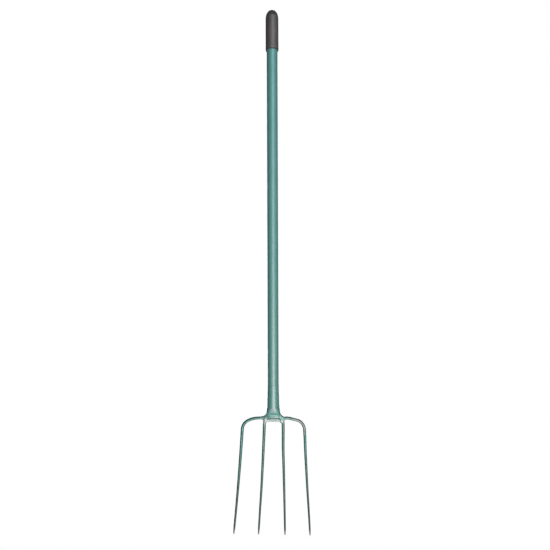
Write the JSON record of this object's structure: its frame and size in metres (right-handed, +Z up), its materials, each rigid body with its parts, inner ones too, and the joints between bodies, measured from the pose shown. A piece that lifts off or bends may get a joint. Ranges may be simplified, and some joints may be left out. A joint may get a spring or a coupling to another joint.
{
  "type": "long-handled garden fork",
  "caption": "Long-handled steel fork: domed soft grip, straight tubular handle, welded conical socket and a wide head of splayed, forward-curved, pointed tines for lifting and loosening.",
  "frame": {"origin": "on the handle's axis at the middle of the grip's straight barrel, where the hand holds the fork", "axes": "+Z up along the handle towards the grip's domed end, -Y towards the hollow side of the tines, +X to the right seen from that side"},
  "size_m": [0.2154, 0.1059, 1.4994],
  "materials": {
    "grip_plastic": "dark grey soft plastic, satin, slightly scuffed",
    "painted_tube": "sea-green powder coat, semi-gloss, fine orange peel",
    "painted_head": "sea-green powder coat over forged bar and weld metal, semi-gloss, thinner at the points"
  },
  "bodies": {
    "root": {"grip": "grip_plastic", "handle_tube": "painted_tube", "tube_weld": "painted_tube", "socket": "painted_head", "outer_tines": "painted_head", "inner_tines": "painted_head", "socket_weld_front": "painted_head", "socket_weld_rear": "painted_head", "socket_weld_left": "painted_head", "socket_weld_right": "painted_head", "bar_weld_front": "painted_head", "bar_weld_rear": "painted_head", "corner_weld_left": "painted_head", "corner_weld_right": "painted_head"}
  },
  "joints": []
}
